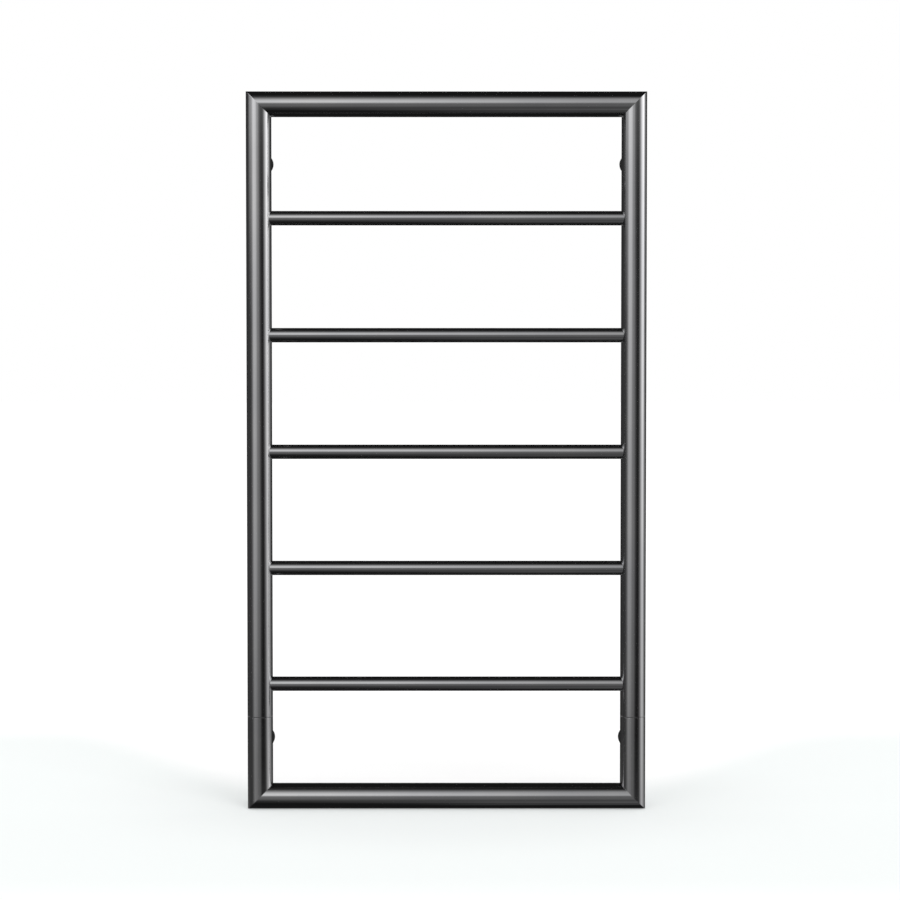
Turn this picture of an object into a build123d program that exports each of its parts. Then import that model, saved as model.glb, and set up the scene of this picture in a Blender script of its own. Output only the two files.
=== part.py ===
from build123d import *
from math import pi, sqrt
import os

# A wall-mounted ladder towel rail, dry electric, in millimetres.
# The front faces -Y, +X is to the viewer's right and +Z is up.
# The wall is the plane Y = 0, and the origin is the middle of the four wall fixings on it.

# Driving dimensions
overall_width = 500.0
overall_height = 898.0
main_od = 31.8
main_wall = 1.5
rung_od = 18.0
rung_wall = 1.2
rung_count = 5
rung_pitch = 145.8
axis_to_wall = 72.0  # from the tubes' axes to the wall
upper_post_drop = 69.0  # below the top rail's axis
lower_post_rise = 63.7  # above the bottom rail's axis
seam_rise = 100.3  # the leg joint, above the bottom rail's axis
seam_round = 0.6  # on the tubes' outer edges at the leg joint
edge_chamfer = 0.3  # on sleeve ends and post rear ends
braze_gap = 0.05  # between a rung and the hole it is brazed in

# Leg joint
sleeve_gap = 0.05  # radial, inside the main tubes
sleeve_wall = 2.0
sleeve_length = 50.0
joint_screw_drop = 12.0  # below the seam
joint_screw_r = 1.95
joint_screw_length = 5.0
joint_screw_head_r = 3.5
joint_screw_head_h = 2.0
joint_screw_hole_r = 2.2
head_taper = 15.0  # degrees, on screw heads and the rivet's tail
sleeve_thread_r = 2.0

# Wall posts, bosses and grub screws
post_r = 13.45
post_socket_r = 10.0  # rear counterbore that slides over the boss
post_bore_r = 8.5
post_wall_gap = 0.5  # between a post's rear end and the wall
boss_r = 9.92
boss_length = 16.0
boss_chamfer = 0.5
wall_screw_hole_r = 2.4
wall_screw_head_r = 4.4
countersink = 90.0  # degrees, whole angle
lead_slot_r = 2.7
lead_slot_rise = 7.3  # slot's round bottom, above the boss axis
grub_r = 2.0
grub_thread_r = 2.05
grub_length = 3.0
grub_tip_gap = 0.06
grub_from_wall = 8.0
hex_grub = 2.0  # across flats
hex_joint_screw = 2.5
hex_depth = 1.3

# Electrical parts inside the tubes
cable_r = 1.8
cable_bend_r = 12.0
cable_rest_gap = 0.1
main_cable_drop = 11.0  # below the top and bottom rails' axes
cable_end_rise = 46.0  # the far end, above the top rung's axis
end_seal_r = 2.8
end_seal_cap = 4.0
end_seal_grip = 10.0
end_seal_round = 1.5
inner_fit = 0.05  # around a small electrical part in its pocket
bung_r = 14.2
bung_length = 28.0
bung_drop = 16.0  # its top, below the lower posts' axis
cable_grip = 12.0
crimp_r = 1.7
crimp_bore_r = 1.0
crimp_length = 18.0
crimp_offset = 5.0
crimp_pocket = 14.0
fuse_r = 2.0
fuse_neck_r = 0.9
fuse_length = 12.0
fuse_neck = 2.5
gland_r = 8.45
gland_length = 12.0
gland_front = 20.0  # from the tube's axis
gland_bore_r = 2.6
lead_hole_r = 6.0
earth_drop = 16.0  # below the seam
lug_ring_r = 4.0
lug_thickness = 0.8
lug_barrel_r = 1.7
lug_barrel_bore_r = 1.1
lug_barrel_length = 7.0
lug_tongue_w = 3.2
rivet_r = 1.6
rivet_head_r = 2.8
rivet_head_h = 0.8
rivet_head_top = 14.0  # from the leg's axis, below the sleeve's surface
rivet_tail_h = 1.0

# Derived sizes
main_r = main_od / 2
main_bore_r = main_r - main_wall
rung_r = rung_od / 2
rung_bore_r = rung_r - rung_wall
half_width = (overall_width - main_od) / 2
axis_height = overall_height - main_od
fixing_height = axis_height - upper_post_drop - lower_post_rise
upper_z = fixing_height / 2
lower_z = -fixing_height / 2
top_z = upper_z + upper_post_drop
bottom_z = lower_z - lower_post_rise
middle_z = (top_z + bottom_z) / 2
seam_z = bottom_z + seam_rise
axis_y = -axis_to_wall
rung_zs = [middle_z + rung_pitch * ((rung_count - 1) / 2 - i) for i in range(rung_count)]
rung_hole_r = rung_r + braze_gap
rung_half = half_width - sqrt(main_bore_r**2 - rung_r**2) + cable_rest_gap
sleeve_r = main_bore_r - sleeve_gap
sleeve_bore_r = sleeve_r - sleeve_wall
screw_seat = sqrt(main_r**2 - joint_screw_head_r**2)  # flat under the head, from the axis
joint_screw_z = seam_z - joint_screw_drop
earth_z = seam_z - earth_drop
lug_seat = sqrt(sleeve_bore_r**2 - lug_ring_r**2)  # where a flat lug meets the sleeve's bore
bung_top = lower_z - bung_drop
bung_bottom = bung_top - bung_length
boss_front_y = -boss_length
posts = {
    "upper_left": (-half_width, upper_z),
    "upper_right": (half_width, upper_z),
    "lower_left": (-half_width, lower_z),
    "lower_right": (half_width, lower_z),
}
sides = {"left": -1, "right": 1}


def save(piece, name):
    """Label a finished piece and write its STEP."""
    piece.part.label = name
    export_step(piece.part, f"parts/{name}.step")


def mitre(side, end_z, up):
    """The 45 degree plane through a frame corner, facing out of the upright."""
    return Plane(origin=(side * half_width, axis_y, end_z), z_dir=(-side, 0, up))


def upright(side):
    """The long tube of one side, from the leg joint to the top mitre."""
    x = side * half_width
    with BuildPart() as tube:
        with BuildSketch(Plane(origin=(x, axis_y, seam_z), z_dir=(0, 0, 1))):
            Circle(main_r)
            Circle(main_bore_r, mode=Mode.SUBTRACT)
        extrude(amount=top_z + main_r - seam_z)
        outer_rim = tube.edges().filter_by(GeomType.CIRCLE).group_by(Axis.Z)[0].sort_by(SortBy.RADIUS)[-1]
        fillet(outer_rim, radius=seam_round)
        split(bisect_by=mitre(side, top_z, 1), keep=Keep.BOTTOM)
        inner_side = Plane(origin=(x, axis_y, 0), x_dir=(0, 0, 1), z_dir=(-side, 0, 0))
        with BuildSketch(inner_side):
            with Locations([(z, 0) for z in rung_zs]):
                Circle(rung_hole_r)
        extrude(amount=main_od, mode=Mode.SUBTRACT)
    return tube


def lower_leg(side):
    """The short tube below the leg joint, mitred to the bottom rail."""
    x = side * half_width
    rear = Plane(origin=(x, axis_y, 0), x_dir=(1, 0, 0), z_dir=(0, 1, 0))
    with BuildPart() as tube:
        with BuildSketch(Plane(origin=(x, axis_y, bottom_z - main_r), z_dir=(0, 0, 1))):
            Circle(main_r)
            Circle(main_bore_r, mode=Mode.SUBTRACT)
        extrude(amount=seam_z - bottom_z + main_r)
        outer_rim = tube.edges().filter_by(GeomType.CIRCLE).group_by(Axis.Z)[-1].sort_by(SortBy.RADIUS)[-1]
        fillet(outer_rim, radius=seam_round)
        split(bisect_by=mitre(side, bottom_z, -1), keep=Keep.BOTTOM)
        # clearance hole for the joint screw, with a flat under its head
        with BuildSketch(rear):
            with Locations((0, -joint_screw_z)):
                Circle(joint_screw_hole_r)
        extrude(amount=main_od, mode=Mode.SUBTRACT)
        with BuildSketch(rear.offset(screw_seat)):
            with Locations((0, -joint_screw_z)):
                Circle(joint_screw_head_r + inner_fit)
        extrude(amount=main_wall, mode=Mode.SUBTRACT)
        if side > 0:
            # the supply lead comes in from the post
            with BuildSketch(rear):
                with Locations((0, -lower_z)):
                    Circle(lead_hole_r)
            extrude(amount=main_od, mode=Mode.SUBTRACT)
    return tube


def cross_rail(z, up):
    """The top (up = 1) or bottom (up = -1) rail, mitred at both ends."""
    with BuildPart() as tube:
        with BuildSketch(Plane(origin=(0, axis_y, z), z_dir=(1, 0, 0))):
            Circle(main_r)
            Circle(main_bore_r, mode=Mode.SUBTRACT)
        extrude(amount=overall_width / 2, both=True)
        split(bisect_by=mitre(-1, z, up), keep=Keep.TOP)
        split(bisect_by=mitre(1, z, up), keep=Keep.TOP)
    return tube


def rung(z):
    """A slim cross tube whose square ends sit inside the uprights."""
    with BuildPart() as tube:
        with BuildSketch(Plane(origin=(0, axis_y, z), z_dir=(1, 0, 0))):
            Circle(rung_r)
            Circle(rung_bore_r, mode=Mode.SUBTRACT)
        extrude(amount=rung_half, both=True)
    return tube


def joint_sleeve(side):
    """The inner sleeve that lines up an upright with its leg."""
    x = side * half_width
    rear = Plane(origin=(x, axis_y, 0), x_dir=(1, 0, 0), z_dir=(0, 1, 0))
    front = Plane(origin=(x, axis_y, 0), x_dir=(1, 0, 0), z_dir=(0, -1, 0))
    mid_wall_r = (sleeve_r + sleeve_bore_r) / 2
    with BuildPart() as sleeve:
        with BuildSketch(Plane(origin=(x, axis_y, seam_z), z_dir=(0, 0, 1))):
            Circle(sleeve_r)
            Circle(sleeve_bore_r, mode=Mode.SUBTRACT)
        extrude(amount=sleeve_length / 2, both=True)
        rims = sleeve.edges().filter_by(GeomType.CIRCLE).filter_by(lambda e: e.radius > mid_wall_r)
        chamfer(rims, length=edge_chamfer)
        with BuildSketch(rear):
            with Locations((0, -joint_screw_z)):
                Circle(sleeve_thread_r)
        extrude(amount=main_od, mode=Mode.SUBTRACT)
        if side > 0:
            # the earth rivet's hole and the recess for its flat head
            with BuildSketch(front):
                with Locations((0, earth_z)):
                    Circle(rivet_r + inner_fit)
            extrude(amount=main_od, mode=Mode.SUBTRACT)
            with BuildSketch(front.offset(rivet_head_top - rivet_head_h)):
                with Locations((0, earth_z)):
                    Circle(rivet_head_r + inner_fit)
            extrude(amount=main_wall, mode=Mode.SUBTRACT)
    return sleeve


def joint_screws():
    """The two button screws that lock the legs to their sleeves, from behind."""
    with BuildPart() as screws:
        for side in sides.values():
            seat = Plane(
                origin=(side * half_width, axis_y + screw_seat, joint_screw_z),
                z_dir=(0, 1, 0),
            )
            with BuildSketch(seat):
                Circle(joint_screw_head_r)
            extrude(amount=joint_screw_head_h, taper=head_taper)
            with BuildSketch(seat):
                Circle(joint_screw_r)
            extrude(amount=-joint_screw_length)
            with BuildSketch(seat.offset(joint_screw_head_h)):
                RegularPolygon(radius=hex_joint_screw / 2, side_count=6, major_radius=False)
            extrude(amount=-hex_depth, mode=Mode.SUBTRACT)
    return screws


def wall_post(x, z):
    """A round stand-off, coped and welded to the back of the leg, open at the wall end."""
    with BuildPart() as post:
        with BuildSketch(Plane(origin=(x, axis_y, z), z_dir=(0, 1, 0))):
            Circle(post_r)
            Circle(post_bore_r, mode=Mode.SUBTRACT)
        extrude(amount=axis_to_wall - post_wall_gap)
        rear_rim = post.edges().filter_by(GeomType.CIRCLE).group_by(Axis.Y)[-1].sort_by(SortBy.RADIUS)[-1]
        chamfer(rear_rim, length=edge_chamfer)
        # the socket for the wall boss
        with BuildSketch(Plane(origin=(x, boss_front_y, z), z_dir=(0, 1, 0))):
            Circle(post_socket_r)
        extrude(amount=boss_length, mode=Mode.SUBTRACT)
        # the cope that fits the leg
        with BuildSketch(Plane(origin=(x, axis_y, z), z_dir=(0, 0, 1))):
            Circle(main_r)
        extrude(amount=main_od, both=True, mode=Mode.SUBTRACT)
        # the grub screw's thread, from below
        with BuildSketch(Plane(origin=(x, -grub_from_wall, z), z_dir=(0, 0, -1))):
            Circle(grub_thread_r)
        extrude(amount=main_od, mode=Mode.SUBTRACT)
    return post


def wall_boss(x, z, lead_slot):
    """A round boss screwed to the wall, which a post slides over."""
    with BuildPart() as boss:
        with BuildSketch(Plane(origin=(x, 0, z), z_dir=(0, -1, 0))):
            Circle(boss_r)
        extrude(amount=boss_length)
        front_rim = boss.edges().filter_by(GeomType.CIRCLE).sort_by(Axis.Y)[0]
        chamfer(front_rim, length=boss_chamfer)
        with Locations(Plane(origin=(x, boss_front_y, z), z_dir=(0, -1, 0))):
            CounterSinkHole(
                radius=wall_screw_hole_r,
                counter_sink_radius=wall_screw_head_r,
                depth=boss_length,
                counter_sink_angle=countersink,
            )
        if lead_slot:
            with BuildSketch(Plane(origin=(x, 0, z), x_dir=(1, 0, 0), z_dir=(0, -1, 0))):
                with Locations((0, lead_slot_rise)):
                    Circle(lead_slot_r)
                with Locations((0, lead_slot_rise + boss_r / 2)):
                    Rectangle(2 * lead_slot_r, boss_r)
            extrude(amount=boss_length, mode=Mode.SUBTRACT)
    return boss


def grub_screw(x, z):
    """A set screw under a post; its flat tip bears on the boss."""
    tip_z = z - boss_r - grub_tip_gap
    with BuildPart() as grub:
        with BuildSketch(Plane(origin=(x, -grub_from_wall, tip_z), z_dir=(0, 0, -1))):
            Circle(grub_r)
        extrude(amount=grub_length)
        with BuildSketch(Plane(origin=(x, -grub_from_wall, tip_z - grub_length), z_dir=(0, 0, 1))):
            RegularPolygon(radius=hex_grub / 2, side_count=6, major_radius=False)
        extrude(amount=hex_depth, mode=Mode.SUBTRACT)
    return grub


def cable_route():
    """The cable's corners: bottom rail, then each rung in turn, then the top rail."""
    bottom = bottom_z - main_cable_drop
    top = top_z - main_cable_drop
    rung_drop = rung_bore_r - cable_r - cable_rest_gap
    route = [(half_width, bung_bottom + cable_grip), (half_width, bottom), (-half_width, bottom)]
    side = -1
    for z in reversed(rung_zs):
        route.append((side * half_width, z - rung_drop))
        side = -side
        route.append((side * half_width, z - rung_drop))
    route += [(half_width, top), (-half_width, top), (-half_width, rung_zs[0] + cable_end_rise)]
    return [(x, axis_y, z) for x, z in route]


def heating_cable():
    """One twin-core heating cable, lying in the tubes through the whole ladder."""
    points = cable_route()
    with BuildPart() as cable:
        with BuildLine() as route:
            FilletPolyline(*points, radius=[cable_bend_r] * (len(points) - 2))
        path = route.wire()
        with BuildSketch(Plane(origin=path @ 0, z_dir=path % 0)):
            Circle(cable_r)
        sweep(path=path)
    return cable, path.length


def cable_end_seal():
    """The closed silicone cap on the cable's far end."""
    end_z = rung_zs[0] + cable_end_rise
    with BuildPart() as seal:
        with BuildSketch(Plane.XY.offset(end_z - end_seal_cap)):
            with Locations((-half_width, axis_y)):
                Circle(end_seal_r)
        extrude(amount=end_seal_cap + end_seal_grip)
        fillet(seal.edges().group_by(Axis.Z)[0], radius=end_seal_round)
        with BuildSketch(Plane.XY.offset(end_z)):
            with Locations((-half_width, axis_y)):
                Circle(cable_r + inner_fit)
        extrude(amount=end_seal_grip, mode=Mode.SUBTRACT)
    return seal


def connection_bung():
    """The silicone bung in the right leg that holds the cable's cold end."""
    with BuildPart() as bung:
        with BuildSketch(Plane.XY.offset(bung_bottom)):
            with Locations((half_width, axis_y)):
                Circle(bung_r)
        extrude(amount=bung_length)
        with BuildSketch(Plane.XY.offset(bung_bottom)):
            with Locations((half_width, axis_y)):
                Circle(cable_r + inner_fit)
        extrude(amount=cable_grip, mode=Mode.SUBTRACT)
        with BuildSketch(Plane.XY.offset(bung_top)):
            with Locations(*[(half_width + s * crimp_offset, axis_y) for s in (-1, 1)]):
                Circle(crimp_r + inner_fit)
        extrude(amount=-crimp_pocket, mode=Mode.SUBTRACT)
        with BuildSketch(Plane.XY.offset(bung_top)):
            with Locations((half_width, axis_y + crimp_offset)):
                Circle(fuse_r + inner_fit)
        extrude(amount=-fuse_length, mode=Mode.SUBTRACT)
    return bung


def butt_crimps():
    """The live and neutral crimp barrels that join the supply lead to the cable."""
    with BuildPart() as crimps:
        with BuildSketch(Plane.XY.offset(bung_top - crimp_pocket)):
            with Locations(*[(half_width + s * crimp_offset, axis_y) for s in (-1, 1)]):
                Circle(crimp_r)
                Circle(crimp_bore_r, mode=Mode.SUBTRACT)
        extrude(amount=crimp_length)
    return crimps


def thermal_fuse():
    """The one-shot thermal fuse in the live core."""
    with BuildPart() as fuse:
        with BuildSketch(Plane.XY.offset(bung_top - fuse_length)):
            with Locations((half_width, axis_y + crimp_offset)):
                Circle(fuse_r)
        extrude(amount=fuse_length - fuse_neck)
        with BuildSketch(Plane.XY.offset(bung_top - fuse_neck)):
            with Locations((half_width, axis_y + crimp_offset)):
                Circle(fuse_neck_r)
        extrude(amount=2 * fuse_neck)
    return fuse


def lead_gland():
    """The silicone gland that the supply lead passes through in the lower right post."""
    with BuildPart() as gland:
        with BuildSketch(Plane(origin=(half_width, axis_y + gland_front, lower_z), z_dir=(0, 1, 0))):
            Circle(gland_r)
            Circle(gland_bore_r, mode=Mode.SUBTRACT)
        extrude(amount=gland_length)
    return gland


def earth_lug():
    """The ring terminal riveted inside the right joint sleeve."""
    seat = Plane(origin=(half_width, axis_y - lug_seat, earth_z), x_dir=(1, 0, 0), z_dir=(0, 1, 0))
    barrel_top = earth_z - lug_ring_r - lug_tongue_w / 2
    barrel_y = axis_y - lug_seat + lug_barrel_r
    with BuildPart() as lug:
        with BuildSketch(seat):
            Circle(lug_ring_r)
            with Locations((0, lug_ring_r)):
                Rectangle(lug_tongue_w, lug_ring_r)
            Circle(rivet_r + inner_fit, mode=Mode.SUBTRACT)
        extrude(amount=lug_thickness)
        with BuildSketch(Plane.XY.offset(barrel_top)):
            with Locations((half_width, barrel_y)):
                Circle(lug_barrel_r)
                Circle(lug_barrel_bore_r, mode=Mode.SUBTRACT)
        extrude(amount=-lug_barrel_length)
    return lug


def earth_rivet():
    """The rivet that bonds the lug to the sleeve, with its head below the sleeve's surface."""
    front = Plane(origin=(half_width, axis_y, earth_z), z_dir=(0, -1, 0))
    tail_face = lug_seat - lug_thickness
    with BuildPart() as rivet:
        with BuildSketch(front.offset(rivet_head_top)):
            Circle(rivet_head_r)
        extrude(amount=-rivet_head_h)
        with BuildSketch(front.offset(tail_face)):
            Circle(rivet_r)
        extrude(amount=rivet_head_top - tail_face)
        with BuildSketch(front.offset(tail_face)):
            Circle(rivet_head_r)
        extrude(amount=-rivet_tail_h, taper=head_taper)
    return rivet


os.makedirs("parts", exist_ok=True)

for side_name, sign in sides.items():
    save(upright(sign), f"{side_name}_upright")
    save(lower_leg(sign), f"{side_name}_lower_leg")
    save(joint_sleeve(sign), f"{side_name}_joint_sleeve")
save(cross_rail(top_z, 1), "top_rail")
save(cross_rail(bottom_z, -1), "bottom_rail")
for number, height in enumerate(rung_zs, start=1):
    save(rung(height), f"rung_{number}")
save(joint_screws(), "joint_screws")
for place, (post_x, post_z) in posts.items():
    save(wall_post(post_x, post_z), f"{place}_post")
    save(wall_boss(post_x, post_z, place == "lower_right"), f"{place}_boss")
    save(grub_screw(post_x, post_z), f"{place}_grub_screw")
cable, cable_length = heating_cable()
save(cable, "heating_cable")
save(cable_end_seal(), "cable_end_seal")
save(connection_bung(), "connection_bung")
save(butt_crimps(), "butt_crimps")
save(thermal_fuse(), "thermal_fuse")
save(lead_gland(), "lead_gland")
save(earth_lug(), "earth_lug")
save(earth_rivet(), "earth_rivet")
print(f"heating cable: {cable_length:.1f} mm, bends of {cable_bend_r} mm")
print(f"its volume over section times length: {cable.part.volume / (pi * cable_r**2 * cable_length):.5f}")
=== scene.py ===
from math import cos, pi, radians, sin, sqrt
import bpy
import bmesh
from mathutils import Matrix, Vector


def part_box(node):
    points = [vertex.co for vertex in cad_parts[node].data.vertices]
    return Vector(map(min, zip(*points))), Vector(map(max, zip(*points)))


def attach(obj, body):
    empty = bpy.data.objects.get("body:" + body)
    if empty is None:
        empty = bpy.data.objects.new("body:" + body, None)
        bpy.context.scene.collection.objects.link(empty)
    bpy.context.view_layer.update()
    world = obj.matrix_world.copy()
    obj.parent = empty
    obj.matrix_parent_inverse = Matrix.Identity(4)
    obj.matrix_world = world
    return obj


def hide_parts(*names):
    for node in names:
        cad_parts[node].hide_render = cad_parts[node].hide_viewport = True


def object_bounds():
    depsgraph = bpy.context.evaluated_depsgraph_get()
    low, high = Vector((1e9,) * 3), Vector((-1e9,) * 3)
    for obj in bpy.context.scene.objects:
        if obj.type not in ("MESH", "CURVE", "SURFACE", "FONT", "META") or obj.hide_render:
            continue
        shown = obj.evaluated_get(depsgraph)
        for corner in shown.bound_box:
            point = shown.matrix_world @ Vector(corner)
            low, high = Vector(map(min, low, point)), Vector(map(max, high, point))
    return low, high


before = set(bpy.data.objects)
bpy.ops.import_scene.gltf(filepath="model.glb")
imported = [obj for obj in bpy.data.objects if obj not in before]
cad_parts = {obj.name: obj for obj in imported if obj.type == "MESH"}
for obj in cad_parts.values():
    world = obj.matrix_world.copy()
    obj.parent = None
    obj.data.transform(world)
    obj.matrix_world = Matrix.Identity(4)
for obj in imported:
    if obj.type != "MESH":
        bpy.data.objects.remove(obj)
cad_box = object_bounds()

# A wall-mounted ladder towel rail of polished gunmetal tube. Sizes are in metres.
# The front faces -Y, the wall is the plane Y = 0 and +Z is up.

MM = 0.001


# ---------------------------------------------------------------- places, from the frame

def middle(node):
    """The middle of a CAD node's box."""
    low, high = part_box(node)
    return (low + high) / 2


def extent(node):
    """The size of a CAD node's box."""
    low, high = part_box(node)
    return high - low


main_r = extent("left_upright").x / 2
rung_r = extent("rung_1").z / 2
rung_half = extent("rung_1").x / 2
half_width = middle("right_upright").x
axis_y = middle("left_upright").y
top_z = cad_box[1].z - main_r
bottom_z = cad_box[0].z + main_r
seam_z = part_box("left_lower_leg")[1].z
joint_screw_z = middle("joint_screws").z
rung_names = ["rung_1", "rung_2", "rung_3", "rung_4", "rung_5"]
rung_zs = [middle(name).z for name in rung_names]
post_places = ["upper_left", "upper_right", "lower_left", "lower_right"]
post_r = extent("upper_left_post").x / 2
post_rear_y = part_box("upper_left_post")[1].y
boss_front_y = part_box("upper_left_boss")[0].y
floor_z = cad_box[0].z

# Sizes that the boxes don't show, as in the part
MAIN_WALL = 1.5 * MM
RUNG_WALL = 1.2 * MM
RUNG_HOLE_GAP = 0.05 * MM
POST_SOCKET_R = 10.0 * MM
POST_BORE_R = 8.5 * MM
POST_CHAMFER = 0.3 * MM
GRUB_HOLE_R = 2.05 * MM
SCREW_HOLE_R = 2.2 * MM
SCREW_SEAT_R = 3.55 * MM
SCREW_HEAD_R = 3.5 * MM
LEAD_HOLE_R = 6.0 * MM

# How the tubes' edges and joints are finished
SEAM_ROUND_ABOVE = 0.9 * MM  # the upright's edge at the leg joint
SEAM_ROUND_BELOW = 0.08 * MM  # the lower leg's
MITRE_ROUND = 0.3 * MM  # reach of the rounding either side of a mitre, at its outer corner
MITRE_LEAST = 0.3  # the share of that which is left at the sides and the inner corner
RUNG_CHAMFER = 0.2 * MM
POST_WELD = 1.0 * MM  # the fillet where a post meets an upright
WELD_ROOT = 0.1 * MM  # how far a weld's edge goes under the tube's surface
HOLD = 0.4 * MM  # plain tube next to a rounding, so that the rounding's shading doesn't spread

main_bore_r = main_r - MAIN_WALL
rung_bore_r = rung_r - RUNG_WALL

# How fine the meshes are
ROUND = 96  # facets round a tube
HOLE_FACETS = 48
WELD_STEPS = 8
MITRE_STEPS = 6
SEAM_STEPS = 5
FINE_GAP = 2.25 * MM  # between a tube's rings near a hole
COARSE_GAP = 20 * MM  # and away from one
RAIL_GAP = 40 * MM
POST_GAP = 2 * MM
HOLE_ZONE = 13.5 * MM  # half the height of the finer mesh round a hole
SHARP_ABOVE = 32  # degrees between faces


# ---------------------------------------------------------------- camera

CAMERA_DISTANCE = 3.0  # in front of the tubes' axes
CAMERA_RISE = 0.113  # above the rail's middle
CAMERA_PITCH = 2.115  # degrees down
CAMERA_YAW = 0.084  # degrees to the right
CAMERA_LENS = 95.9  # millimetres


def make_camera():
    """A long lens, a little above the middle of the rail and looking slightly down."""
    data = bpy.data.cameras.new("camera")
    data.lens = CAMERA_LENS
    camera = bpy.data.objects.new("camera", data)
    bpy.context.scene.collection.objects.link(camera)
    rail_middle = (cad_box[0].z + cad_box[1].z) / 2
    camera.location = (0, axis_y - CAMERA_DISTANCE, rail_middle + CAMERA_RISE)
    camera.rotation_euler = (radians(90 - CAMERA_PITCH), 0, radians(-CAMERA_YAW))
    bpy.context.scene.camera = camera


make_camera()


# ---------------------------------------------------------------- studio

# Soft boxes round the rail, as it mirrors them: the azimuths and then the elevations, in degrees, where
# the light starts, is full, is still full and ends, and its strength. Azimuth 0 is in front, 90 to the right.
SOFT_BOXES = [
    ((36, 86, 93, 108), (-17, 24, 32, 66), 5.6),  # tall box to the right
    ((53, 89, 89, 147), (-58, -16, 6, 46), 1.07),  # its glow below
    ((-110, -77, -59, -19), (0, 20, 32, 66), 4.7),  # high box to the left
    ((-67, -43, -30, -8), (-18, 24, 28, 50), 2.22),  # box to the front left
    ((-80, -41, -4, 23), (-40, 0, 15, 92), 0.39),  # its wide spill
    ((-50, -18, -4, 6), (-3, 15, 18, 50), 1.06),  # low box in front, left of the camera
    ((-66, -15, 49, 110), (3, 12, 34, 68), 0.92),  # long box in front
    ((-89, -52, -13, 47), (-10, -4, 2, 6), 0.24),  # light along the horizon
    ((-56, -19, 39, 57), (-44, -27, -13, -9), 0.20),  # three glows off the floor
    ((-12, 5, 41, 59), (-67, -48, -44, -29), 0.21),
    ((-7, 9, 48, 66), (-96, -73, -53, -43), 0.16),
    ((-172, -100, -45, -29), (-60, -20, 20, 60), 0.11),  # dim wall to the left
    ((105, 130, 155, 172), (-60, -35, -15, -9), 0.9),  # two low boxes behind
    ((-172, -155, -130, -105), (-60, -35, -15, -9), 0.9),
]
ROOM_GLOSS = 0.03  # the dark of the room between the boxes
ROOM_LIGHT = 0.75  # the even white light on rough surfaces


def maths(nodes, links, operation, *values):
    """One Math node; each value is a number or another node's output."""
    node = nodes.new("ShaderNodeMath")
    node.operation = operation
    for socket, value in zip(node.inputs, values):
        if isinstance(value, (int, float)):
            socket.default_value = value
        else:
            links.new(value, socket)
    return node.outputs[0]


def length(nodes, links, first, second):
    """The distance from 0, 0 to a pair of values."""
    squares = [maths(nodes, links, "MULTIPLY", value, value) for value in (first, second)]
    return maths(nodes, links, "SQRT", maths(nodes, links, "ADD", *squares))


def smooth_ramp(nodes, links, value, low, high):
    """0 at low and 1 at high, soft at both."""
    ramp = nodes.new("ShaderNodeMapRange")
    ramp.interpolation_type = "SMOOTHSTEP"
    ramp.inputs["From Min"].default_value = low
    ramp.inputs["From Max"].default_value = high
    links.new(value, ramp.inputs["Value"])
    return ramp.outputs["Result"]


def two_tone(nodes, links, value, first, second, socket):
    """Blends two colours by a value, into a socket."""
    mix = nodes.new("ShaderNodeMix")
    mix.data_type = "RGBA"
    links.new(value, mix.inputs["Factor"])
    mix.inputs["A"].default_value = (*first, 1)
    mix.inputs["B"].default_value = (*second, 1)
    links.new(mix.outputs["Result"], socket)


def soft_window(nodes, links, value, edges):
    """1 between the middle two of four edges, falling softly to 0 at the outer two."""
    rise = smooth_ramp(nodes, links, value, edges[0], edges[1])
    fall = smooth_ramp(nodes, links, value, edges[3], edges[2])
    return maths(nodes, links, "MULTIPLY", rise, fall)


def make_world():
    """White for the eye and for rough surfaces; a dark room with soft boxes for polished ones."""
    world = bpy.data.worlds.new("studio")
    bpy.context.scene.world = world
    world.use_nodes = True
    world.cycles.sampling_method = "NONE"  # the boxes show to glossy rays only, so none are aimed at them
    nodes, links = world.node_tree.nodes, world.node_tree.links
    nodes.clear()
    direction = nodes.new("ShaderNodeSeparateXYZ")
    links.new(nodes.new("ShaderNodeTexCoord").outputs["Generated"], direction.inputs[0])
    x, y, z = direction.outputs
    azimuth = maths(nodes, links, "ARCTAN2", x, maths(nodes, links, "MULTIPLY", y, -1.0))
    azimuth = maths(nodes, links, "DEGREES", azimuth)
    elevation = maths(nodes, links, "DEGREES", maths(nodes, links, "ARCSINE", z))
    total = ROOM_GLOSS
    for azimuths, elevations, strength in SOFT_BOXES:
        centre = (azimuths[1] + azimuths[2]) / 2
        aside = maths(nodes, links, "SUBTRACT", azimuth, centre)
        aside = maths(nodes, links, "WRAP", aside, 180, -180)
        across = soft_window(nodes, links, aside, [edge - centre for edge in azimuths])
        up = soft_window(nodes, links, elevation, elevations)
        box = maths(nodes, links, "MULTIPLY", across, up)
        box = maths(nodes, links, "MULTIPLY", box, strength)
        total = maths(nodes, links, "ADD", total, box)
    path = nodes.new("ShaderNodeLightPath")
    gloss = path.outputs["Is Glossy Ray"]
    seen = path.outputs["Is Camera Ray"]
    plain = maths(nodes, links, "MULTIPLY", seen, 1.0 - ROOM_LIGHT)
    plain = maths(nodes, links, "ADD", plain, ROOM_LIGHT)
    mix = nodes.new("ShaderNodeMix")
    links.new(gloss, mix.inputs["Factor"])
    links.new(plain, mix.inputs["A"])
    links.new(total, mix.inputs["B"])
    background = nodes.new("ShaderNodeBackground")
    background.inputs["Color"].default_value = (1, 1, 1, 1)
    links.new(mix.outputs["Result"], background.inputs["Strength"])
    output = nodes.new("ShaderNodeOutputWorld")
    links.new(background.outputs[0], output.inputs["Surface"])


# Each sun's name, azimuth and strength
SUNS = [
    ("right_sun", 21, 1.14),
    ("left_sun", -25, 0.47),
]
SUN_ELEVATION = 40  # degrees, as is the width
SUN_WIDTH = 40


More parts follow.
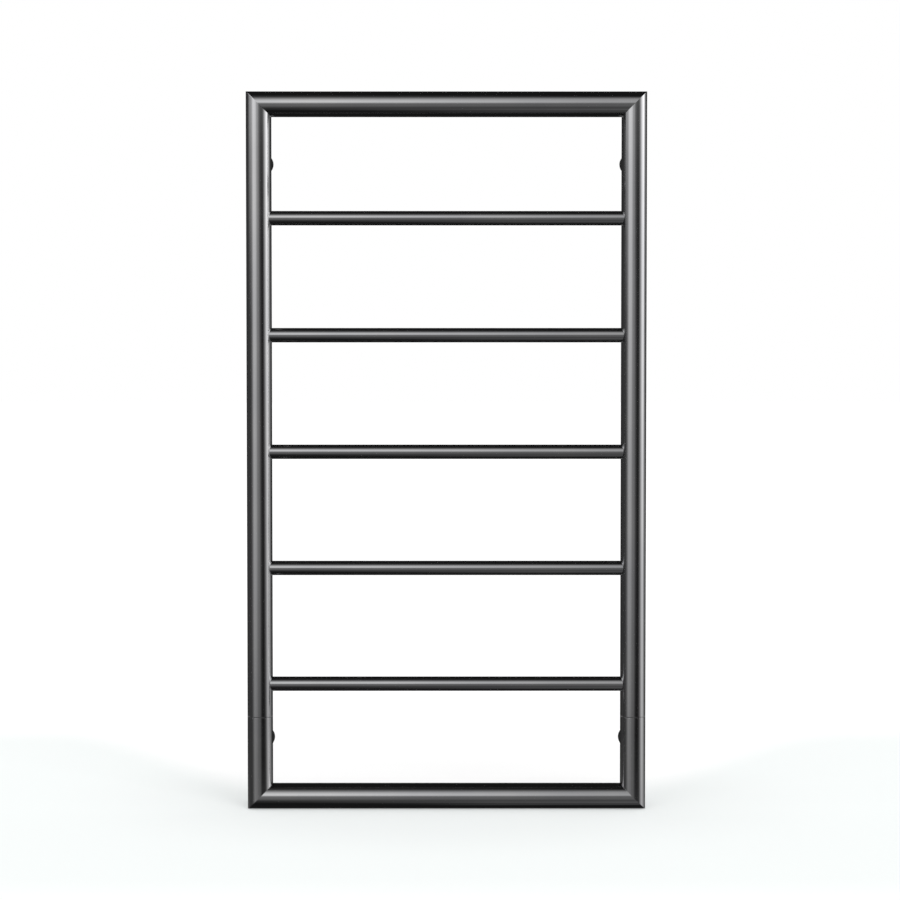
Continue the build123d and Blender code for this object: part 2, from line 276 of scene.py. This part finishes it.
def soft_sun(name, azimuth, strength):
    """Distant soft light, for rough surfaces and shadows. Polished metal mirrors the boxes instead."""
    data = bpy.data.lights.new(name, "SUN")
    data.angle = radians(SUN_WIDTH)
    data.energy = strength
    light = bpy.data.objects.new(name, data)
    bpy.context.scene.collection.objects.link(light)
    a = radians(azimuth)
    e = radians(SUN_ELEVATION)
    away = Vector((sin(a) * cos(e), -cos(a) * cos(e), sin(e)))
    light.rotation_euler = away.to_track_quat("Z", "Y").to_euler()
    light.visible_camera = False
    light.visible_glossy = False


FLOOR_REACH = 30.0
FLOOR_COLOUR = (1, 1, 1)
FLOOR_GLOW = 1.08  # the strength of its own light, which nothing shades
FLOOR_GLOW_SHARE = 0.25  # how much of the floor's look that makes up
# Painted shade: a slightly darker, cool patch painted on the floor round the rail, in metres from the rail's
# foot
SHADE_PATCH_FRONT = (-0.62, -0.40)  # where it ends and is full in front
SHADE_PATCH_BACK = (0.04, 0.24)  # where it is full and ends behind
SHADE_PATCH_SIDE = (0.20, 0.60)  # between these, to either side, it comes to reach further back
SHADE_PATCH_SIDE_REACH = 0.47
SHADE_PATCH_COLOUR = (0.900, 0.929, 0.922)
# Deeper painted shade: a darker oval painted in that patch, round the rail's foot
DEEP_SHADE_MIDDLE_Y = 0.08
DEEP_SHADE_HALF_WIDTH = 0.44
DEEP_SHADE_HALF_DEPTH = 0.34
DEEP_SHADE_FADE = (0.60, 1.20)  # where it starts to fade and ends, as shares of its half size
DEEP_SHADE_COLOUR = (0.868, 0.893, 0.888)


def floor_material():
    """White, with painted shade: slightly grey and cool in a broad patch round the rail's foot, darker in an
    oval near it. Part of its look is its own glow, which no shadow dims.
    """
    material = bpy.data.materials.new("pale_floor")
    material.use_nodes = True
    nodes, links = material.node_tree.nodes, material.node_tree.links
    nodes.clear()
    split = nodes.new("ShaderNodeSeparateXYZ")
    links.new(nodes.new("ShaderNodeTexCoord").outputs["Object"], split.inputs[0])
    x, y, _ = split.outputs

    # Painted shade: the cool grey patch round the rail's foot, fading out in front and behind, and reaching
    # further back at the sides
    aside = smooth_ramp(nodes, links, maths(nodes, links, "ABSOLUTE", x), *SHADE_PATCH_SIDE)
    further = maths(nodes, links, "MULTIPLY", aside, SHADE_PATCH_SIDE_REACH)
    front = smooth_ramp(nodes, links, y, *SHADE_PATCH_FRONT)
    back = smooth_ramp(nodes, links, maths(nodes, links, "SUBTRACT", y, further), *reversed(SHADE_PATCH_BACK))
    shade_patch = maths(nodes, links, "MULTIPLY", front, back)

    # Deeper painted shade: a soft oval round the rail's foot
    deep_shade_x = maths(nodes, links, "DIVIDE", x, DEEP_SHADE_HALF_WIDTH)
    deep_shade_y = maths(nodes, links, "SUBTRACT", y, DEEP_SHADE_MIDDLE_Y)
    deep_shade_y = maths(nodes, links, "DIVIDE", deep_shade_y, DEEP_SHADE_HALF_DEPTH)
    deep_shade = smooth_ramp(nodes, links, length(nodes, links, deep_shade_x, deep_shade_y), *reversed(DEEP_SHADE_FADE))

    # The floor's white, with the painted shade mixed in
    colour = nodes.new("ShaderNodeMix")
    colour.data_type = "RGBA"
    colour.inputs["A"].default_value = (*FLOOR_COLOUR, 1)
    two_tone(nodes, links, deep_shade, SHADE_PATCH_COLOUR, DEEP_SHADE_COLOUR, colour.inputs["B"])
    links.new(shade_patch, colour.inputs["Factor"])

    diffuse = nodes.new("ShaderNodeBsdfDiffuse")
    links.new(colour.outputs["Result"], diffuse.inputs["Color"])
    glow = nodes.new("ShaderNodeEmission")
    glow.inputs["Strength"].default_value = FLOOR_GLOW
    links.new(colour.outputs["Result"], glow.inputs["Color"])
    material.cycles.emission_sampling = "NONE"  # the floor isn't one of the lamps
    blend = nodes.new("ShaderNodeMixShader")
    blend.inputs["Fac"].default_value = FLOOR_GLOW_SHARE
    links.new(diffuse.outputs[0], blend.inputs[1])
    links.new(glow.outputs[0], blend.inputs[2])
    output = nodes.new("ShaderNodeOutputMaterial")
    links.new(blend.outputs[0], output.inputs["Surface"])
    return material


def make_floor():
    """A pale floor at the rail's lowest point."""
    mesh = bpy.data.meshes.new("floor")
    quarters = ((-1, -1), (1, -1), (1, 1), (-1, 1))
    corners = [(x * FLOOR_REACH, y * FLOOR_REACH, 0) for x, y in quarters]
    mesh.from_pydata(corners, [], [(0, 1, 2, 3)])
    mesh.materials.append(floor_material())
    floor = bpy.data.objects.new("floor", mesh)
    bpy.context.scene.collection.objects.link(floor)
    floor.location = (0, axis_y, floor_z)
    floor.visible_glossy = False


bpy.context.scene.view_settings.view_transform = "Standard"
make_world()
for sun in SUNS:
    soft_sun(*sun)
make_floor()


# ---------------------------------------------------------------- materials

EVEN = (1, 1, 1)  # noise that isn't stretched
USUAL = (0.3, 0.7)  # between these lie nearly all of a noise's values


def new_material(name):
    """A Principled material, with its nodes, links and shader."""
    material = bpy.data.materials.new(name)
    material.use_nodes = True
    nodes, links = material.node_tree.nodes, material.node_tree.links
    return material, nodes, links, nodes["Principled BSDF"]


def noise(nodes, links, scale, detail, stretch=EVEN, roughness=0.5):
    """Noise in the piece's own coordinates, squeezed along each axis by its part of the stretch."""
    coordinates = nodes.new("ShaderNodeTexCoord")
    mapping = nodes.new("ShaderNodeMapping")
    mapping.inputs["Scale"].default_value = stretch
    links.new(coordinates.outputs["Object"], mapping.inputs["Vector"])
    texture = nodes.new("ShaderNodeTexNoise")
    texture.inputs["Scale"].default_value = scale
    texture.inputs["Detail"].default_value = detail
    texture.inputs["Roughness"].default_value = roughness
    links.new(mapping.outputs["Vector"], texture.inputs["Vector"])
    return texture.outputs["Fac"]


def remap(nodes, links, value, to_low=0, to_high=1, usual=USUAL):
    """Spreads a noise's usual values over other ones, and goes no further."""
    ramp = nodes.new("ShaderNodeMapRange")
    ramp.inputs["From Min"].default_value = usual[0]
    ramp.inputs["From Max"].default_value = usual[1]
    ramp.inputs["To Min"].default_value = to_low
    ramp.inputs["To Max"].default_value = to_high
    links.new(value, ramp.inputs["Value"])
    return ramp.outputs["Result"]


def bump(nodes, links, shader, height, distance, below=None):
    """A Bump node, whose height of 0 to 1 stands for a distance, on top of any other one."""
    node = nodes.new("ShaderNodeBump")
    node.inputs["Strength"].default_value = 1.0
    node.inputs["Distance"].default_value = distance
    links.new(height, node.inputs["Height"])
    if below is not None:
        links.new(below, node.inputs["Normal"])
    links.new(node.outputs["Normal"], shader.inputs["Normal"])
    return node.outputs["Normal"]


GUNMETAL_DARK = (0.205, 0.206, 0.213)
GUNMETAL_LIGHT = (0.235, 0.234, 0.236)
GUNMETAL_SHINE = (0.07, 0.11)  # roughness of the clean metal and in a smudge
SMUDGE_USUAL = (0.35, 0.75)
LINE_ROUGHNESS = 0.02  # what a polishing line adds
LINE_SQUEEZE = 8.0  # how much finer the lines are along the tube than round it
LINE_DEPTH = 0.0008 * MM
RIPPLE_DEPTH = 0.004 * MM


def gunmetal(name, squeeze):
    """Black nickel over polished steel: dark, with soft smudges and faint lines round the tube."""
    material, nodes, links, shader = new_material(name)
    shader.inputs["Metallic"].default_value = 1.0
    tone = remap(nodes, links, noise(nodes, links, scale=9.0, detail=4.0))
    two_tone(nodes, links, tone, GUNMETAL_DARK, GUNMETAL_LIGHT, shader.inputs["Base Color"])
    lines = noise(nodes, links, scale=45.0, detail=2.0, stretch=squeeze)
    smudge = noise(nodes, links, scale=22.0, detail=5.0, roughness=0.6)
    smudged = remap(nodes, links, smudge, *GUNMETAL_SHINE, SMUDGE_USUAL)
    lined = remap(nodes, links, lines, to_high=LINE_ROUGHNESS)
    links.new(maths(nodes, links, "ADD", smudged, lined), shader.inputs["Roughness"])
    ripple = noise(nodes, links, scale=70.0, detail=1.0)
    rippled = bump(nodes, links, shader, ripple, RIPPLE_DEPTH)
    bump(nodes, links, shader, lines, LINE_DEPTH, rippled)
    return material


upright_metal = gunmetal("gunmetal_upright", (1, 1, LINE_SQUEEZE))
cross_metal = gunmetal("gunmetal_cross", (LINE_SQUEEZE, 1, 1))
post_metal = gunmetal("gunmetal_post", (1, LINE_SQUEEZE, 1))


STEEL_DARK = (0.50, 0.50, 0.51)
STEEL_LIGHT = (0.60, 0.60, 0.61)
STEEL_METALLIC = 0.75
STEEL_ROUGHNESS = (0.22, 0.34)
TURNING_SCALE = 6000.0
TURNING_DEPTH = 0.004 * MM


def turned_steel():
    """Stainless bar faced on a lathe: fine rings round each boss's own axis."""
    material, nodes, links, shader = new_material("turned_steel")
    shader.inputs["Metallic"].default_value = STEEL_METALLIC
    coordinates = nodes.new("ShaderNodeTexCoord")
    one_corner = nodes.new("ShaderNodeVectorMath")
    one_corner.operation = "ABSOLUTE"
    links.new(coordinates.outputs["Object"], one_corner.inputs[0])
    centred = nodes.new("ShaderNodeVectorMath")
    centred.operation = "SUBTRACT"
    links.new(one_corner.outputs[0], centred.inputs[0])
    centred.inputs[1].default_value = (half_width, 0, middle("upper_left_boss").z)
    split = nodes.new("ShaderNodeSeparateXYZ")
    links.new(centred.outputs[0], split.inputs[0])
    x, y, z = split.outputs
    pair = nodes.new("ShaderNodeCombineXYZ")
    links.new(length(nodes, links, x, z), pair.inputs[0])
    links.new(y, pair.inputs[1])
    turning = nodes.new("ShaderNodeTexNoise")
    turning.noise_dimensions = "2D"
    turning.inputs["Scale"].default_value = TURNING_SCALE
    turning.inputs["Detail"].default_value = 1.0
    links.new(pair.outputs[0], turning.inputs["Vector"])
    rings = turning.outputs["Fac"]
    tone = noise(nodes, links, scale=160.0, detail=3.0)
    two_tone(nodes, links, tone, STEEL_DARK, STEEL_LIGHT, shader.inputs["Base Color"])
    links.new(remap(nodes, links, rings, *STEEL_ROUGHNESS), shader.inputs["Roughness"])
    bump(nodes, links, shader, rings, TURNING_DEPTH)
    return material


METAL_MOTTLE = 8  # how much coarser a rough metal's mottling is than its grain
SILICONE_BLOOM = 10  # the same for silicone's bloom
SILICONE_ROUGHNESS = (0.5, 0.66)
SILICONE_SHEEN = 0.15
SILICONE_SHEEN_ROUGHNESS = 0.5


def rough_metal(name, dark, light, roughness, grain, depth):
    """Metal with a fine even grain, such as an oxide or a drawn or plated finish."""
    material, nodes, links, shader = new_material(name)
    shader.inputs["Metallic"].default_value = 1.0
    mottle = remap(nodes, links, noise(nodes, links, scale=grain / METAL_MOTTLE, detail=4.0))
    two_tone(nodes, links, mottle, dark, light, shader.inputs["Base Color"])
    fine = noise(nodes, links, scale=grain, detail=3.0)
    links.new(remap(nodes, links, fine, *roughness), shader.inputs["Roughness"])
    bump(nodes, links, shader, fine, depth)
    return material


def silicone(name, dark, light, grain, depth):
    """Matt moulded or extruded silicone with a dusty bloom."""
    material, nodes, links, shader = new_material(name)
    shader.inputs["Sheen Weight"].default_value = SILICONE_SHEEN
    shader.inputs["Sheen Roughness"].default_value = SILICONE_SHEEN_ROUGHNESS
    bloom = remap(nodes, links, noise(nodes, links, scale=grain / SILICONE_BLOOM, detail=4.0))
    two_tone(nodes, links, bloom, dark, light, shader.inputs["Base Color"])
    fine = noise(nodes, links, scale=grain, detail=2.0)
    links.new(remap(nodes, links, fine, *SILICONE_ROUGHNESS), shader.inputs["Roughness"])
    bump(nodes, links, shader, fine, depth)
    return material


def dress(material, *names):
    """Puts a material on CAD nodes that stay as they are."""
    for name in names:
        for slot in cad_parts[name].material_slots:
            slot.material = material


turned_bar = turned_steel()
black_oxide = rough_metal(
    "black_oxide",
    dark=(0.035, 0.036, 0.04),
    light=(0.07, 0.068, 0.07),
    roughness=(0.32, 0.46),
    grain=3000.0,
    depth=0.004 * MM,
)
drawn_steel = rough_metal(
    "drawn_steel",
    dark=(0.46, 0.46, 0.47),
    light=(0.54, 0.54, 0.55),
    roughness=(0.24, 0.36),
    grain=1800.0,
    depth=0.004 * MM,
)
tinned_copper = rough_metal(
    "tinned_copper",
    dark=(0.66, 0.65, 0.62),
    light=(0.78, 0.77, 0.74),
    roughness=(0.26, 0.40),
    grain=2400.0,
    depth=0.005 * MM,
)
plated_case = rough_metal(
    "plated_case",
    dark=(0.55, 0.55, 0.55),
    light=(0.65, 0.65, 0.65),
    roughness=(0.20, 0.30),
    grain=2600.0,
    depth=0.003 * MM,
)
cable_sheath = silicone(
    "cable_sheath",
    dark=(0.31, 0.065, 0.04),
    light=(0.39, 0.095, 0.06),
    grain=1500.0,
    depth=0.010 * MM,
)
white_moulding = silicone(
    "white_moulding",
    dark=(0.76, 0.76, 0.73),
    light=(0.84, 0.84, 0.81),
    grain=1200.0,
    depth=0.008 * MM,
)

dress(turned_bar, *[f"{place}_boss" for place in post_places])
dress(black_oxide, "joint_screws", *[f"{place}_grub_screw" for place in post_places])
dress(drawn_steel, "left_joint_sleeve", "right_joint_sleeve", "earth_rivet")
dress(tinned_copper, "butt_crimps", "earth_lug")
dress(plated_case, "thermal_fuse")
dress(cable_sheath, "heating_cable")
dress(white_moulding, "cable_end_seal", "connection_bung", "lead_gland")


# ---------------------------------------------------------------- mesh building

def steps(count):
    """0 to 1 in count equal steps."""
    return [i / count for i in range(count + 1)]


def ring(point, facets=ROUND):
    """The points that point(angle) gives, all the way round."""
    return [point(2 * pi * i / facets) for i in range(facets)]


def skin(rings):
    """A closed solid whose surface runs through the rings in turn and back to the first."""
    mesh = bpy.data.meshes.new("skin")
    facets = len(rings[0])
    points = [point for one in rings for point in one]
    faces = []
    for row in range(len(rings)):
        here, there = row * facets, (row + 1) % len(rings) * facets
        for i in range(facets):
            j = (i + 1) % facets
            faces.append((here + i, here + j, there + j, there + i))
    mesh.from_pydata(points, [], faces)
    shape = bmesh.new()
    shape.from_mesh(mesh)
    bmesh.ops.recalc_face_normals(shape, faces=shape.faces)
    if shape.calc_volume(signed=True) < 0:
        bmesh.ops.reverse_faces(shape, faces=shape.faces)
    shape.to_mesh(mesh)
    shape.free()
    return mesh


def drill(mesh, holes):
    """Cuts round holes, each from start to end with a radius, out of a mesh."""
    piece = bpy.data.objects.new("drilled", mesh)
    bpy.context.scene.collection.objects.link(piece)
    bits = []
    for start, end, radius in holes:
        start, end = Vector(start), Vector(end)
        turn = (end - start).to_track_quat("Z", "Y").to_matrix()
        rim = ring(lambda a: turn @ Vector((radius * cos(a), radius * sin(a), 0)), HOLE_FACETS)
        points = [place + point for place in (start, end) for point in rim]
        faces = [tuple(reversed(range(HOLE_FACETS))), tuple(range(HOLE_FACETS, 2 * HOLE_FACETS))]
        for i in range(HOLE_FACETS):
            j = (i + 1) % HOLE_FACETS
            faces.append((i, j, HOLE_FACETS + j, HOLE_FACETS + i))
        bit_mesh = bpy.data.meshes.new("bit")
        bit_mesh.from_pydata(points, [], faces)
        bit = bpy.data.objects.new("bit", bit_mesh)
        bpy.context.scene.collection.objects.link(bit)
        cut = piece.modifiers.new("cut", "BOOLEAN")
        cut.operation = "DIFFERENCE"
        cut.solver = "EXACT"
        cut.object = bit
        bits.append(bit)
    graph = bpy.context.evaluated_depsgraph_get()
    cut_mesh = bpy.data.meshes.new_from_object(piece.evaluated_get(graph), depsgraph=graph)
    for thing in [piece, *bits]:
        bpy.data.objects.remove(thing)
    return cut_mesh


def show(name, mesh, material):
    """Makes the piece that replaces a CAD node of the rail."""
    mesh.shade_smooth()
    mesh.set_sharp_from_angle(angle=radians(SHARP_ABOVE))
    mesh.materials.clear()
    mesh.materials.append(material)
    mesh.name = name
    piece = bpy.data.objects.new(f"{name}_tube", mesh)
    bpy.context.scene.collection.objects.link(piece)
    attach(piece, "rail")
    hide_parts(name)


# ---------------------------------------------------------------- the outer frame

def corner_curve(side, end, up, radius):
    """The rounding at a mitre, as a function of the angle round the tube and of t, which is 0 on the
    upright's side, 0.5 on the mitre plane and 1 on the rail's side."""
    def point(angle, t):
        out = radius * cos(angle)  # away from the frame's middle
        meet = Vector((side * (half_width + out), axis_y + radius * sin(angle), end + up * out))
        reach = MITRE_ROUND * (MITRE_LEAST + (1 - MITRE_LEAST) * max(0, cos(angle)))
        down = Vector((0, 0, -up)) * (reach * (1 - t) ** 2)
        across = Vector((-side, 0, 0)) * (reach * t**2)
        return meet + down + across
    return point


def along_upright(side, radius, z):
    """A plain ring of an upright or leg."""
    x0 = side * half_width
    return ring(lambda a: Vector((x0 + side * radius * cos(a), axis_y + radius * sin(a), z)))


def seam_edge(side, z, inward, reach):
    """The rounded outer edge at the leg joint, from its flat end face to the tube's side."""
    rings = []
    for t in steps(SEAM_STEPS):
        turn = t * pi / 2
        radius = main_r - reach * (1 - sin(turn))
        rings.append(along_upright(side, radius, z + inward * reach * (1 - cos(turn))))
    return rings


def spaced(start, end, gap):
    """Places strictly between start and end, in that order, about a gap apart."""
    count = max(1, round(abs(end - start) / gap))
    return [start + (end - start) * i / count for i in range(1, count)]


def leg_mesh(side, joint_z, joint_round, end, up, heights):
    """An upright or a lower leg: hollow, rounded at the leg joint and mitred at the other end."""
    outer = corner_curve(side, end, up, main_r)
    bore = corner_curve(side, end, up, main_bore_r)
    hold = Vector((0, 0, up * HOLD))
    rings = [along_upright(side, main_bore_r, joint_z)]
    rings += seam_edge(side, joint_z, up, joint_round)
    rings.append(along_upright(side, main_r, joint_z + up * (joint_round + HOLD)))
    rings += [along_upright(side, main_r, z) for z in heights]
    rings.append(ring(lambda a: outer(a, 0) - hold))
    rings += [ring(lambda a: outer(a, t / 2)) for t in steps(MITRE_STEPS)]
    rings.append(ring(lambda a: bore(a, 0.5)))
    rings.append(ring(lambda a: bore(a, 0)))
    rings += [along_upright(side, main_bore_r, z) for z in reversed(heights)]
    return skin(rings)


def rail_mesh(end, up):
    """The top or bottom rail, hollow and mitred at both ends."""
    def across(x, radius):
        return ring(lambda a: Vector((x, axis_y + radius * sin(a), end + up * radius * cos(a))))

    def surface(radius):
        left = corner_curve(-1, end, up, radius)
        right = corner_curve(1, end, up, radius)
        rings = [ring(lambda a: left(a, 0.5 + t / 2)) for t in steps(MITRE_STEPS)]
        rings.append(ring(lambda a: left(a, 1) + hold))
        rings += [across(x, radius) for x in spaced(-plain_half, plain_half, RAIL_GAP)]
        rings.append(ring(lambda a: right(a, 1) - hold))
        rings += [ring(lambda a: right(a, 1 - t / 2)) for t in steps(MITRE_STEPS)]
        return rings

    plain_half = half_width - 2 * main_r
    hold = Vector((HOLD, 0, 0))
    return skin(surface(main_r) + surface(main_bore_r)[::-1])


def fine_heights(low, high, holes):
    """Ring heights: coarse along the plain tube and fine round each hole."""
    heights = []
    z = low
    for hole in sorted(holes):
        below = hole - HOLE_ZONE
        above = hole + HOLE_ZONE
        heights += [*spaced(z, below, COARSE_GAP), below, *spaced(below, above, FINE_GAP), above]
        z = above
    return heights + spaced(z, high, COARSE_GAP)


def make_upright(side_name, side):
    """An upright, with a hole for each rung."""
    x = side * half_width
    inner_x = x - side * 2 * main_r
    heights = fine_heights(seam_z + SEAM_ROUND_ABOVE + HOLD, top_z - 2 * main_r, rung_zs)
    upright = leg_mesh(side, seam_z, SEAM_ROUND_ABOVE, top_z, 1, heights)
    holes = [((x, axis_y, z), (inner_x, axis_y, z), rung_r + RUNG_HOLE_GAP) for z in rung_zs]
    show(f"{side_name}_upright", drill(upright, holes), upright_metal)


def make_lower_leg(side_name, side):
    """A lower leg, with the joint screw's hole and seat and, on the right, the supply lead's hole."""
    x = side * half_width
    seat_y = axis_y + sqrt(main_r**2 - SCREW_HEAD_R**2)
    outside_y = axis_y + 2 * main_r
    post_z = middle("lower_right_post").z
    heights = spaced(seam_z - SEAM_ROUND_BELOW - HOLD, bottom_z + 2 * main_r, FINE_GAP)
    leg = leg_mesh(side, seam_z, SEAM_ROUND_BELOW, bottom_z, -1, heights)
    holes = [
        ((x, axis_y, joint_screw_z), (x, outside_y, joint_screw_z), SCREW_HOLE_R),
        ((x, seat_y, joint_screw_z), (x, outside_y, joint_screw_z), SCREW_SEAT_R),
    ]
    if side_name == "right":
        holes.append(((x, axis_y, post_z), (x, outside_y, post_z), LEAD_HOLE_R))
    show(f"{side_name}_lower_leg", drill(leg, holes), upright_metal)


for side_name, side in (("left", -1), ("right", 1)):
    make_upright(side_name, side)
    make_lower_leg(side_name, side)

show("top_rail", rail_mesh(top_z, 1), cross_metal)
show("bottom_rail", rail_mesh(bottom_z, -1), cross_metal)


# ---------------------------------------------------------------- rungs

def rung_mesh(z):
    """A rung: hollow, with lightly chamfered ends that sit in the uprights' holes."""
    def level(x, radius):
        return ring(lambda a: Vector((x, axis_y + radius * cos(a), z + radius * sin(a))))

    plain_half = rung_half - RUNG_CHAMFER
    end_r = rung_r - RUNG_CHAMFER
    left_end = [level(-rung_half, rung_bore_r), level(-rung_half, end_r), level(-plain_half, rung_r)]
    right_end = [level(plain_half, rung_r), level(rung_half, end_r), level(rung_half, rung_bore_r)]
    outside = [level(x, rung_r) for x in spaced(-plain_half, plain_half, COARSE_GAP)]
    bore = [level(x, rung_bore_r) for x in spaced(rung_half, -rung_half, COARSE_GAP)]
    return skin(left_end + outside + right_end + bore)


for name, z in zip(rung_names, rung_zs):
    show(name, rung_mesh(z), cross_metal)


# ---------------------------------------------------------------- wall posts

def post_mesh(x0, z0):
    """A post: coped and welded to the back of its tube, and open for the boss at the wall end."""
    def to_upright(angle, radius):
        return axis_y + sqrt(main_r**2 - (radius * cos(angle)) ** 2)

    def place(y, radius, angle):
        return Vector((x0 + radius * cos(angle), y, z0 + radius * sin(angle)))

    def fillet(angle, t):
        turn = t * pi / 2
        rise = post_r + POST_WELD * (1 - cos(turn))
        return place(to_upright(angle, rise) + POST_WELD * (1 - sin(turn)), rise, angle)

    def level(y, radius):
        return ring(lambda a: place(y, radius, a))

    weld_r = post_r + POST_WELD
    weld_end_y = axis_y + main_r + POST_WELD
    rings = [ring(lambda a: place(to_upright(a, POST_BORE_R) - WELD_ROOT, POST_BORE_R, a))]
    rings.append(ring(lambda a: place(to_upright(a, weld_r) - WELD_ROOT, weld_r - WELD_ROOT, a)))
    rings += [ring(lambda a: fillet(a, 1 - t)) for t in steps(WELD_STEPS)]
    rings += [level(y, post_r) for y in spaced(weld_end_y, post_rear_y - POST_CHAMFER, POST_GAP)]
    rings.append(level(post_rear_y - POST_CHAMFER, post_r))
    rings.append(level(post_rear_y, post_r - POST_CHAMFER))
    rings.append(level(post_rear_y, POST_SOCKET_R))
    rings.append(level(boss_front_y, POST_SOCKET_R))
    rings.append(level(boss_front_y, POST_BORE_R))
    return skin(rings)


for place_name in post_places:
    node = f"{place_name}_post"
    x, _, z = middle(node)
    grub_y = middle(f"{place_name}_grub_screw").y
    grub_hole = ((x, grub_y, z), (x, grub_y, z - 2 * main_r), GRUB_HOLE_R)
    show(node, drill(post_mesh(x, z), [grub_hole]), post_metal)
